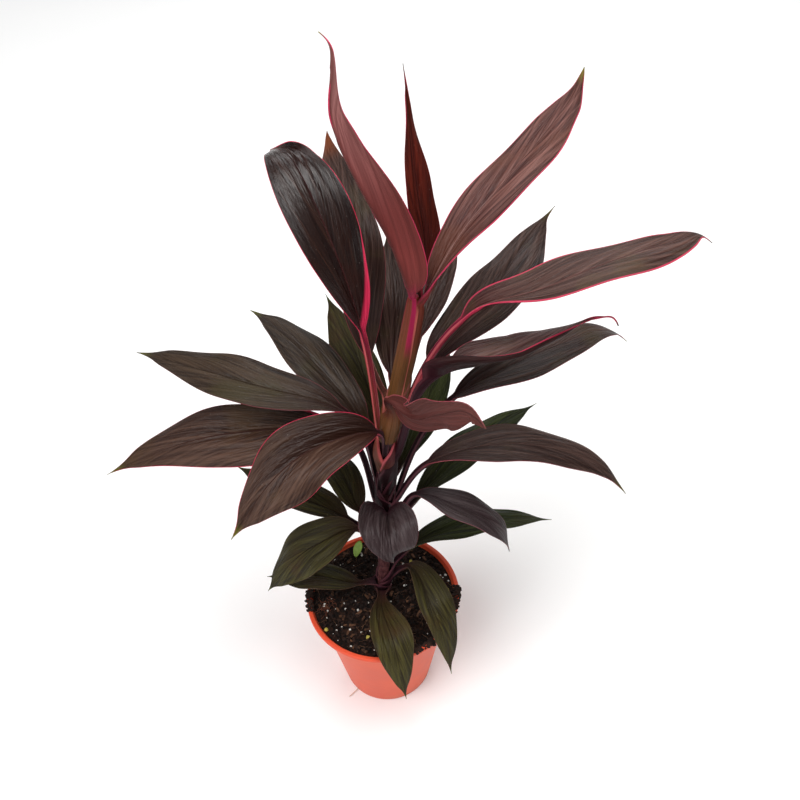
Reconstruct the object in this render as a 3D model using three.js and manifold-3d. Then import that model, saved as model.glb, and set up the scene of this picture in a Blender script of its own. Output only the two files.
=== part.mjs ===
// Potted ti plant: a small plastic pot, peat, one cane and twenty-nine leaves.
// Millimetres, +Z up, origin at the centre of the pot's underside, front at -Y.
import * as THREE from 'three';
import Module from 'manifold-3d';

const wasm = await Module();
wasm.setup();

// Pot
const POT_HEIGHT = 101.5;
const POT_RIM_RADIUS = 60;
const POT_FOOT_RADIUS = 36;
const POT_NECK_RADIUS = 51.2;
const FLARE_HEIGHT = 8;
const FLARE_REACH = 6;
const LIP_HEIGHT = 3.5;
const LIP_WIDTH = 3.5;
const LIP_ROUND = 1.2;
const WALL = 1.6;
const FLOOR = 3;
const POT_SIDES = 48;

// Peat
const PEAT_EDGE_HEIGHT = 98.6;
const PEAT_CROWN_HEIGHT = 101;
const PEAT_CROWN_RADIUS = 24;
const PEAT_SIDES = 48;
const GAP = 0.3;

// Cane: height, lean to the right and radius
const CANE = [
  [60, 0, 4.6], [104, 0, 4.6], [150, 3, 4.5], [195, 6, 4.8], [228, 7.5, 5],
  [261, 8.5, 5.2], [290, 14, 5], [313, 18, 4.8], [350, 25, 4.4], [382, 30, 3.8], [392, 30.8, 2.6],
];
const CANE_SIDES = 14;

// Leaves
const STALK_WIDTH = 3.2;
const STALK_THICKNESS = 2.2;
const BLADE_THICKNESS = 0.8;
const STALK_START = 3.6;
const STALK_RISE = 70;
const STALK_RINGS = 5;
const RIB_FADE = 0.35;
const RING_SPACING = 10.5;
const FEWEST_RINGS = 9;
const MOST_RINGS = 16;
const TIP_HALF_WIDTH = 0.6;
const DROOP_OF_EDGES = 0.25;
const WAVE = 1.2;
const WAVES_ALONG = 2.5;
const WAVE_SHIFT = 1.9;
const WAVE_IN = 5;
const WAVE_OUT = 4;
const FOLD = [40, 20, 12, 8];
const SHAPE = [0.8, 1.25];
const DRAWN = [0.4, 0.84, 0.95];
const CURL_START = 0.35;
const CURL_STEPS = 12;
const LOBE_END = 0.35;
const ACROSS = [-1, -0.5, 0, 0.5, 1];

// A leaf: height of its node, the points its midrib runs through (foot of the blade first,
// tip last), width of the blade, and what sets it apart: az and rise of the stalk as it leaves
// the cane, up = which way the upper side looks, sides = left and right share of the width,
// shape = how far out the blade is widest (left and right may differ), fold = folding along the
// midrib from foot to tip, wave = height of the waves along its edges, drawn = how much narrower
// the drawn-out tip is and where it begins and ends, curl = an edge that rolls up (side, where it
// begins and ends, degrees), lobe = how far the foot's left and right edges reach back.
const LEAVES = {
  leaf_01: { node: 112, rise: 20, run: [[-1, -12, 112], [8, -54, 112], [15, -75, 72]], width: 28,
    sides: [1.15, 1.1] },
  leaf_02: { node: 118, rise: 15, run: [[-16, -2, 118], [-44, 1, 124], [-92, 17, 106]], width: 27 },
  leaf_03: { node: 122, rise: 25, run: [[19, 3, 130], [38, -35, 125], [50, -58, 76]], width: 31,
    sides: [1.15, 0.6] },
  leaf_04: { node: 128, rise: 45, run: [[22, 11, 142], [70, 26, 148], [139, 51, 120]], width: 28,
    sides: [1.2, 0.8] },
  leaf_05: { node: 158, az: 125, rise: 35, run: [[-23, 21, 168], [-58, 31, 184], [-108, 60, 190]],
    width: 28, sides: [1, 1.35] },
  leaf_06: { node: 166, az: 185, rise: 40, run: [[-15, 3, 178], [-45, -3, 170], [-87, -8, 122]],
    width: 40, up: [0, -0.35, 1] },
  leaf_07: { node: 172, rise: 40, run: [[28, 23, 184], [65, 53, 202], [129, 107, 198]], width: 32 },
  leaf_08: { node: 176, rise: 35, run: [[-12, 18, 178], [-24, 39, 194], [-49, 73, 202]], width: 27 },
  leaf_09: { node: 182, az: -45, rise: 40,
    run: [[28, 0, 217], [57, -11, 216], [84, -20, 202], [93, -23, 178]], width: 27,
    shape: [[0.8, 1], [0.8, 1.25]] },
  leaf_10: { node: 195, az: 25,
    run: [[55, 18, 291], [101, 34, 307], [129, 50, 306], [157, 70, 300], [175, 80, 289], [186, 86, 276]],
    width: 36, sides: [1, 1.2], shape: [[0.8, 1.25], [0.6, 1.4]] },
  leaf_11: { node: 200, rise: 40,
    run: [[8, -16, 217], [9, -36, 221], [10, -45, 215], [11, -47, 202]], width: 45, sides: [1, 1.1],
    shape: [[0.5, 0.8], [0.5, 1.2]], fold: [50, 35, 20, 0], lobe: [8, 8] },
  leaf_12: { node: 203, az: 190, run: [[-14, 12, 262], [-94, 13, 272], [-186, 14, 236]], width: 42,
    up: [0, -0.5, 1], sides: [1.3, 1], shape: [[0.75, 1.55], [1.05, 1.2]], wave: 1.8 },
  leaf_13: { node: 205, az: -25, rise: 60,
    run: [[36, -2, 250], [98, -3, 266], [158, -14, 243], [168, -22, 234]], width: 35,
    shape: [[0.8, 1.05], [0.8, 1.25]] },
  leaf_14: { node: 212, az: -140, rise: 75, run: [[4, -8, 288], [-42, -27, 290], [-89, -61, 252]],
    width: 48, up: [0, -0.45, 1], sides: [1.2, 1], fold: [55, 35, 5, 0] },
  leaf_15: { node: 216, az: 75, run: [[18, 14, 232], [36, 42, 258], [59, 96, 276]], width: 30 },
  leaf_16: { node: 218, az: 150, rise: 75, run: [[-16, 4, 296], [-75, 23, 306], [-162, 72, 297]],
    width: 38, up: [0, -0.2, 1], shape: [[0.8, 1.4], [0.9, 1]] },
  leaf_17: { node: 228, az: 130, run: [[-3, 9, 274], [-38, 45, 306], [-81, 87, 318]], width: 36,
    shape: [[0.8, 1.4], [0.8, 0.85]] },
  leaf_18: { node: 232, az: 80, run: [[7, 16, 242], [-5, 58, 282], [-31, 119, 306]], width: 40,
    sides: [1.1, 0.7] },
  leaf_19: { node: 240, az: 35,
    run: [[40, 16, 322], [82, 42, 361], [123, 107, 371], [130, 114, 374]], width: 40,
    sides: [0.95, 1.2], shape: [[0.6, 1.4], [0.7, 1.2]] },
  leaf_20: { node: 248, az: -20, rise: 60,
    run: [[50, -13, 343], [74, -10, 346], [109, 0, 352], [133, 14, 353],
      [144, 20, 351], [154, 26, 346], [160, 30, 336]],
    width: 26, up: [0, 0.2, 1], sides: [1.73, 1.6], shape: [[0.73, 2.36], [0.1, 1.48]],
    drawn: [0.8, 0.55, 0.72], fold: [53, 12, 8, 8], lobe: [0, 15], curl: [['right', -1, 1, 128]] },
  leaf_21: { node: 262, az: 0, rise: 74,
    run: [[58, -3, 372], [63, -4, 378], [101, -8, 395], [140, 0, 406],
      [176, 12, 409], [195, 22, 407], [206, 26, 398]],
    width: 40, sides: [0.95, 0.88], shape: [[0.6, 1.15], [1.5, 1.15]] },
  leaf_22: { node: 264, az: 150, rise: 86,
    run: [[-1, 17, 348], [-17, 38, 404], [-38, 72, 439], [-55, 109, 426]], width: 44,
    shape: [0.9, 1], curl: [['right', 0.72, 1, 110]] },
  leaf_23: { node: 296, az: -95,
    run: [[14, -18, 325], [27, -32, 324], [42, -45, 338], [57, -57, 350], [66, -70, 349]],
    width: 28, up: [0.3, 0.9, 0.1], shape: [0.5, 0.7], fold: [20, 10, 5], wave: 1.6 },
  leaf_24: { node: 298, az: 125, rise: 60, run: [[1, 35, 312], [-3, 62, 384], [-20, 136, 424]],
    width: 35, shape: [[0.8, 0.85], [0.8, 1.25]], drawn: [0.2, 0.84, 0.95] },
  leaf_25: { node: 302, az: 80, rise: 55, run: [[15, 30, 302], [17, 62, 340], [16, 106, 366]],
    width: 26 },
  leaf_26: { node: 322, az: 40, rise: 55, run: [[33, 27, 334], [44, 49, 356], [63, 96, 368]],
    width: 24 },
  leaf_27: { node: 385, rise: 80,
    run: [[29, -15, 401], [21, -8, 426], [4, -4, 464], [-3, 1, 479],
      [-8, 6, 494], [-6, 14, 527], [-12, 30, 528]],
    width: 25, up: [0.3, 0.9, 0], sides: [1.4, 0.3], shape: [[0.4, 1.23], [0.15, 2.1]],
    drawn: [0.65, 0.6, 0.85], fold: [38, 36, 25, 20] },
  leaf_28: { node: 376, rise: 75,
    run: [[38, -8, 397], [57, 8, 422], [84, 30, 443], [111, 54, 462], [126, 68, 476], [131, 76, 485]],
    width: 33, shape: [[0.7, 0.9], [1, 0.9]] },
  leaf_29: { node: 386, rise: 85, run: [[37, 11, 402], [34, 16, 448], [29, 41, 506]], width: 22,
    up: [0.5, -0.9, 0.2], sides: [0.8, 0.98], shape: [0.6, 1.8] },
};

const rad = THREE.MathUtils.degToRad;
const mix = (a, b, f) => a * (1 - f) + b * f;
const clamp = THREE.MathUtils.clamp;

// A value read off an even row of keys, t from 0 to 1
function keyed(t, keys) {
  const x = clamp(t, 0, 1) * (keys.length - 1);
  const i = Math.min(Math.floor(x), keys.length - 2);
  return mix(keys[i], keys[i + 1], x - i);
}

// A smooth step from 0 to 1
function soft(value, low, high) {
  const x = clamp((value - low) / (high - low), 0, 1);
  return x * x * (3 - 2 * x);
}

// Half width of a blade on its left (0) or right (1) side, t from foot to tip
function outline(spec, half, t) {
  const shape = spec.shape ?? SHAPE;
  const [rising, falling] = Array.isArray(shape[0]) ? shape[half] : shape;
  const widest = rising / (rising + falling);
  const [drawn, from, to] = spec.drawn ?? DRAWN;
  const full = (t / widest) ** rising * ((1 - t) / (1 - widest)) ** falling
    * (1 - drawn * soft(t, from, to));
  const width = spec.width / 2 * full * (spec.sides ?? [1, 1])[half];
  return Math.max(width, STALK_WIDTH / 2 * (1 - t) ** 1.5, TIP_HALF_WIDTH);
}

// Sideways and upward reach of a point across a blade, as shares of the half width
function reachAcross(spec, u, t, fold) {
  let curl = 0;
  for (const [side, from, to, degrees] of spec.curl ?? []) {
    if ((side === 'left') !== (u < 0)) continue;
    const middle = (from + to) / 2;
    curl += rad(degrees) * soft(t, from, middle) * (to < 1 ? 1 - soft(t, middle, to) : 1);
  }
  let out = 0;
  let lift = 0;
  for (let k = 0; k < Math.round(Math.abs(u) * CURL_STEPS); k += 1) {
    const angle = fold + curl * soft((k + 0.5) / CURL_STEPS, CURL_START, 1);
    out += Math.cos(angle) / CURL_STEPS;
    lift += Math.sin(angle) / CURL_STEPS;
  }
  return [out, lift];
}

// Lean of the cane at a height
function caneAt(z) {
  let i = 0;
  while (i < CANE.length - 2 && z > CANE[i + 1][0]) i += 1;
  const [z0, x0] = CANE[i];
  const [z1, x1] = CANE[i + 1];
  return new THREE.Vector3(mix(x0, x1, (z - z0) / (z1 - z0)), 0, z);
}

// Smooth run through points spaced by their distances, with a set direction at the start
function midrib(points, first) {
  const last = points.length - 1;
  const span = [];
  const slope = [];
  const at = [0];
  for (let i = 0; i < last; i += 1) {
    span.push(points[i].distanceTo(points[i + 1]));
    slope.push(points[i + 1].clone().sub(points[i]).divideScalar(span[i]));
    at.push(at[i] + span[i]);
  }
  const lead = [first];
  for (let i = 1; i < last; i += 1) {
    lead.push(slope[i - 1].clone().multiplyScalar(span[i])
      .addScaledVector(slope[i], span[i - 1]).divideScalar(span[i - 1] + span[i]));
  }
  lead.push(slope[last - 1].clone().multiplyScalar(1.5).addScaledVector(lead[last - 1], -0.5));
  const read = (s) => {
    let i = 0;
    while (i < last - 1 && s > at[i + 1]) i += 1;
    const h = span[i];
    const u = clamp((s - at[i]) / h, 0, 1);
    const place = points[i].clone().multiplyScalar(2 * u ** 3 - 3 * u ** 2 + 1)
      .addScaledVector(lead[i], h * (u ** 3 - 2 * u ** 2 + u))
      .addScaledVector(points[i + 1], -2 * u ** 3 + 3 * u ** 2)
      .addScaledVector(lead[i + 1], h * (u ** 3 - u ** 2));
    const along = points[i].clone().multiplyScalar(6 * u ** 2 - 6 * u)
      .addScaledVector(lead[i], h * (3 * u ** 2 - 4 * u + 1))
      .addScaledVector(points[i + 1], -6 * u ** 2 + 6 * u)
      .addScaledVector(lead[i + 1], h * (3 * u ** 2 - 2 * u)).normalize();
    return { place, along };
  };
  return { read, foot: at[1], end: at[last] };
}

// One leaf, stalk and blade: rings of upper and lower points from the cane to the tip
function blade(spec) {
  const foot = new THREE.Vector3(...spec.run[0]);
  const node = caneAt(spec.node);
  const away = foot.clone().sub(node).setZ(0).normalize();
  if (spec.az !== undefined) away.set(Math.cos(rad(spec.az)), Math.sin(rad(spec.az)), 0);
  const rise = rad(spec.rise ?? STALK_RISE);
  const first = away.clone().multiplyScalar(Math.cos(rise)).setZ(Math.sin(rise));
  const run = [node.clone().addScaledVector(away, STALK_START),
    ...spec.run.map((p) => new THREE.Vector3(...p))];
  const rib = midrib(run, first);
  const length = rib.end - rib.foot;
  const count = clamp(Math.round(length / RING_SPACING), FEWEST_RINGS, MOST_RINGS);
  const stops = [];
  for (let i = 0; i < STALK_RINGS; i += 1) stops.push(rib.foot * i / STALK_RINGS);
  for (let i = 0; i <= count; i += 1) stops.push(mix(rib.foot, rib.end, i / count));
  const up = new THREE.Vector3(...(spec.up ?? [0, 0, 1]));
  const rows = stops.map((s) => {
    const t = clamp((s - rib.foot) / length, 0, 1);
    const { place, along } = rib.read(s);
    const side = along.clone().cross(up).normalize();
    const face = side.clone().cross(along);
    const fold = rad(keyed(t, spec.fold ?? FOLD));
    const wave = (spec.wave ?? WAVE) * clamp(t * WAVE_IN, 0, 1) * clamp((1 - t) * WAVE_OUT, 0, 1);
    return ACROSS.map((u) => {
      const half = outline(spec, u < 0 ? 0 : 1, t);
      const [out, raised] = reachAcross(spec, u, t, fold);
      const lift = half * (raised - DROOP_OF_EDGES * u * u)
        + wave * u * u * Math.sin(2 * Math.PI * WAVES_ALONG * t + (u < 0 ? WAVE_SHIFT : 0));
      const back = (spec.lobe ?? [0, 0])[u < 0 ? 0 : 1] * u * u * clamp(1 - t / LOBE_END, 0, 1);
      const thick = BLADE_THICKNESS
        + (STALK_THICKNESS - BLADE_THICKNESS) * clamp(1 - t / RIB_FADE, 0, 1) * (1 - u * u);
      const upper = place.clone().addScaledVector(side, Math.sign(u) * half * out)
        .addScaledVector(along, -back).addScaledVector(face, lift + BLADE_THICKNESS / 2);
      return [upper, upper.clone().addScaledVector(face, -thick)];
    });
  });
  const n = ACROSS.length;
  const vertices = [];
  for (const row of rows) {
    for (const layer of [0, 1]) for (const pair of row) vertices.push(...pair[layer].toArray());
  }
  const top = (j, i) => j * 2 * n + i;
  const low = (j, i) => j * 2 * n + n + i;
  const faces = [];
  const quad = (a, b, c, d) => faces.push(a, b, c, a, c, d);
  const end = rows.length - 1;
  for (let j = 0; j < end; j += 1) {
    for (let i = 0; i < n - 1; i += 1) {
      quad(top(j, i), top(j, i + 1), top(j + 1, i + 1), top(j + 1, i));
      faces.push(low(j, i), low(j + 1, i + 1), low(j, i + 1));
      faces.push(low(j, i), low(j + 1, i), low(j + 1, i + 1));
    }
    quad(top(j, 0), top(j + 1, 0), low(j + 1, 0), low(j, 0));
    quad(top(j, n - 1), low(j, n - 1), low(j + 1, n - 1), top(j + 1, n - 1));
  }
  for (let i = 0; i < n - 1; i += 1) {
    quad(top(0, i), low(0, i), low(0, i + 1), top(0, i + 1));
    quad(top(end, i), top(end, i + 1), low(end, i + 1), low(end, i));
  }
  return solid(vertices, faces);
}

function solid(vertices, faces) {
  return new wasm.Manifold(new wasm.Mesh({
    numProp: 3, vertProperties: new Float32Array(vertices), triVerts: new Uint32Array(faces),
  }));
}

// The cane, or the room it needs when its radius is grown
function cane(grow) {
  const vertices = [];
  const faces = [];
  const rows = CANE.map(([z, x, r]) => [z, x, r + grow]);
  if (grow > 0) {
    rows[0][0] -= grow;
    rows[rows.length - 1][0] += grow;
  }
  rows.forEach(([z, x, r]) => {
    for (let k = 0; k < CANE_SIDES; k += 1) {
      const a = 2 * Math.PI * k / CANE_SIDES;
      vertices.push(x + r * Math.cos(a), r * Math.sin(a), z);
    }
  });
  const m = CANE_SIDES;
  for (let j = 0; j < rows.length - 1; j += 1) {
    for (let k = 0; k < m; k += 1) {
      const a = j * m + k;
      const b = j * m + (k + 1) % m;
      faces.push(a, b, b + m, a, b + m, a + m);
    }
  }
  const [z0, x0] = rows[0];
  const [z1, x1] = rows[rows.length - 1];
  vertices.push(x0, 0, z0, x1, 0, z1);
  const low = rows.length * m;
  for (let k = 0; k < m; k += 1) {
    faces.push(low, (k + 1) % m, k);
    faces.push(low + 1, (rows.length - 1) * m + k, (rows.length - 1) * m + (k + 1) % m);
  }
  return solid(vertices, faces);
}

function geometryOf(body) {
  const mesh = body.getMesh();
  const geometry = new THREE.BufferGeometry();
  geometry.setAttribute('position', new THREE.BufferAttribute(new Float32Array(mesh.vertProperties), 3));
  geometry.setIndex(new THREE.BufferAttribute(new Uint32Array(mesh.triVerts), 1));
  geometry.computeVertexNormals();
  return geometry;
}

// A body turned round the upright axis from its outline
function turned(outline, sides) {
  const geometry = new THREE.LatheGeometry(outline.map(([r, z]) => new THREE.Vector2(r, z)), sides);
  geometry.rotateX(Math.PI / 2);
  return geometry;
}

const group = new THREE.Group();
group.name = 'potted_ti_plant';

function add(name, geometry, color, roughness) {
  const mesh = new THREE.Mesh(geometry, new THREE.MeshStandardMaterial({
    color, roughness, metalness: 0, side: THREE.FrontSide,
  }));
  mesh.name = name;
  group.add(mesh);
}

const lipFoot = POT_HEIGHT - LIP_HEIGHT;
const flareFoot = lipFoot - FLARE_HEIGHT;
const lipInner = POT_RIM_RADIUS - LIP_WIDTH;
const bend = flareFoot + WALL / 2;
const lipSeat = lipFoot + WALL;

// Inner radius of the pot at a height: the straight wall, then its flare up to the lip
const innerAt = (z) => (z <= bend
  ? mix(POT_FOOT_RADIUS, POT_NECK_RADIUS, z / bend) - WALL
  : mix(POT_NECK_RADIUS - WALL, lipInner, (z - bend) / (lipSeat - bend)));

add('pot', turned([
  [0, 0], [POT_FOOT_RADIUS - LIP_ROUND, 0], [POT_FOOT_RADIUS, LIP_ROUND],
  [POT_NECK_RADIUS, flareFoot], [POT_NECK_RADIUS + FLARE_REACH, lipFoot],
  [POT_RIM_RADIUS, lipFoot], [POT_RIM_RADIUS, POT_HEIGHT - LIP_ROUND],
  [POT_RIM_RADIUS - LIP_ROUND, POT_HEIGHT], [lipInner, POT_HEIGHT], [lipInner, lipSeat],
  [innerAt(bend), bend], [innerAt(FLOOR), FLOOR], [0, FLOOR],
], POT_SIDES), 0xe06a4a, 0.5);

const hole = CANE[0][2] + GAP;
const easy = GAP * 1.5;
add('peat', turned([
  [0, FLOOR + GAP], [innerAt(FLOOR) - GAP, FLOOR + GAP], [innerAt(bend) - easy, bend],
  [innerAt(PEAT_EDGE_HEIGHT) - easy, PEAT_EDGE_HEIGHT], [PEAT_CROWN_RADIUS, PEAT_CROWN_HEIGHT],
  [hole, PEAT_CROWN_HEIGHT], [hole, CANE[0][0] - GAP], [0, CANE[0][0] - GAP],
], PEAT_SIDES), 0x241a14, 0.95);

add('cane', geometryOf(cane(0)), 0x5a2430, 0.5);

const room = cane(GAP);
for (const [name, spec] of Object.entries(LEAVES)) {
  add(name, geometryOf(blade(spec).subtract(room)), 0x4a2a34, 0.35);
}

export default group;
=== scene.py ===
# Potted ti plant: finer leaves, cane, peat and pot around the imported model.
# Metres, +Z up, origin at the centre of the pot's underside, front at -Y.
import math
import random

import bpy
from mathutils import Euler, Matrix, Vector, noise


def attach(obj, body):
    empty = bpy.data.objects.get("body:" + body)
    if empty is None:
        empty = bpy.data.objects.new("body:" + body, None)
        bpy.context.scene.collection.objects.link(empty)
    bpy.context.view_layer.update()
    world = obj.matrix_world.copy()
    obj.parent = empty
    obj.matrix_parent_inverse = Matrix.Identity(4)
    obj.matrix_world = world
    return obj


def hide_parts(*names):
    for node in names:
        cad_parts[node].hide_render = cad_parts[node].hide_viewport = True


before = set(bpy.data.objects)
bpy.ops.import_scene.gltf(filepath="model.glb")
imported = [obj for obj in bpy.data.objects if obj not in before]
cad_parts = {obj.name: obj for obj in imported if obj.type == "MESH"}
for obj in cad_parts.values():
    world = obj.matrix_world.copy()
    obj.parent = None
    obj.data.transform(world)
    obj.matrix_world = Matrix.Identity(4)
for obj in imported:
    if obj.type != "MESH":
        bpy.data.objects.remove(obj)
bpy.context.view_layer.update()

MM = 0.001
SEED = 5
chance = random.Random(SEED)
noise.seed_set(SEED)

# Camera and light

CAMERA_PLACE = (0.020, -0.415, 0.695)
CAMERA_DOWN = math.radians(43)
CAMERA_ROLL = math.radians(-2.5)
CAMERA_LENS = 40.5
CAMERA_SENSOR = 36
LAMPS = [
    # name, place, aim, size, power, tint
    ("top_light", (0.25, -0.15, 1.75), (0.02, 0, 0.25), 1.1, 18, (1.0, 0.99, 0.97)),
    ("back_light", (0.2, 1.6, 1.2), (0.02, 0, 0.30), 1.2, 6, (0.97, 0.99, 1.0)),
]
SUN_FROM = (-0.6, -0.5, 1)
SUN_POWER = 1.7
SUN_SPREAD = math.radians(40)
ROOM_LIGHT = 0.27
FLOOR_SIZE = 6
FLOOR_GLOW = 0.1

# Pot and peat, millimetres, as in the part

POT_HEIGHT = 101.5
POT_RIM_RADIUS = 60
POT_FOOT_RADIUS = 36
POT_NECK_RADIUS = 51.2
LIP_FOOT = 98
FLARE_FOOT = 90
FLARE_TOP_RADIUS = 57.2
LIP_WIDTH = 3.5
WALL = 1.6
POT_SOLE_RADIUS = 30
POT_SOLE_RISE = 2
POT_FOOT_EDGE = 1.2
POT_FLOOR = 4
POT_ROUNDING = 0.9
POT_SIDES = 96
PEAT_EDGE_HEIGHT = 98.6
PEAT_CROWN_HEIGHT = 101
PEAT_CROWN_SLOPE = (20, 54)
PEAT_RADIUS = 55.2
PEAT_RIM = 1.5
PEAT_OUTLINE = [(34.2, 3.5), (49, 90.8), (53.6, 97), (PEAT_RADIUS, PEAT_EDGE_HEIGHT)]
PEAT_SIDES = 60
PEAT_CUTS = 28
PEAT_LUMPS = [(11, 1.6), (4.2, 0.9), (1.7, 0.55)]  # size across, height
PEAT_HEAPS = [(-50, 10, 1.6, 90), (50, -12, 1.4, 120)]  # x, y, height, spread

# What lies on the peat: arcs of spilled crumbs on the lip (from, to, how many), beads of plant
# feed, a clump of rusty fibre, a scrap of leaf (x, y, length, width) and the root at the foot

STREW_REACH = 53.5
SPILL_REACH = (55.0, 60.6)
SPILL_FALL = 2.4
SPILLS = [(160, 194, 130), (-42, 4, 190), (-70, -50, 90)]
FEED_SPOTS = [(-44, -29.7), (50.6, 1.9), (23.2, 29.6), (-12, -38)]
CLUMP = (-45, -9)
CLUMP_SPREAD = 3.5
CLUMP_HAIRS = 36
SCRAP = (-20, 44, 17, 7)
SCRAP_TURN = -12
ROOT = (-25.5, -24.5, 1.2)
ROOT_TURN = -136
BARK_SIZE = (5.2, 2.0, 0.8)
FIBRE_STEPS = 6

# Cane: height, lean to the right and radius

CANE = [
    (60, 0, 4.6), (104, 0, 4.6), (150, 3, 4.5), (195, 6, 4.8), (228, 7.5, 5),
    (261, 8.5, 5.2), (290, 14, 5), (313, 18, 4.8), (350, 25, 4.4), (382, 30, 3.8), (392, 30.8, 2.6),
]
CANE_SIDES = 24
RINGS_START = 98.0
RINGS_END = 250
RING_SPACING = 7
RING = [(0, 0.98), (1.6, 1.03), (2.2, 0.94)]  # height above the ring's foot, share of radius

# Leaves

STALK_START = 3.6
STALK_RISE = 70
STALK_HALF = 2.7
STALK_FOLD = 52
STALK_THICKNESS = 2.3
BLADE_THICKNESS = 0.5
DROOP_OF_EDGES = 0.25
WAVE = 1.2
WAVES_ALONG = 2.5
WAVE_SHIFT = 1.9
FOLD = (40, 20, 12, 8)
SHAPE = (0.8, 1.25)
DRAWN = (0.4, 0.84, 0.95)
CURL_START = 0.35
TIP_HALF = 0.15
VEIN_LEAN = 1.8
VEIN_REACH = 1.3
VEIN_SPACING = 10
RIPPLE = 0.12
RIPPLE_LENGTH = 34
CLASP = (155, 105, 42)
SHEATH_SHARE = 0.11
SHEATH_LENGTHS = (6, 24)
SHEATH_GAPS = (0.15, 1.2)
LETS_GO = (2, 16)
GROOVE_DEPTH = 0.35
GROOVE_HALF = 0.9
RIB_HALF = 1.5
FOOT_BLEND = (-8, 9)
LEAF_COLUMNS = 24
ROW_LENGTH = 2.2

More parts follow.
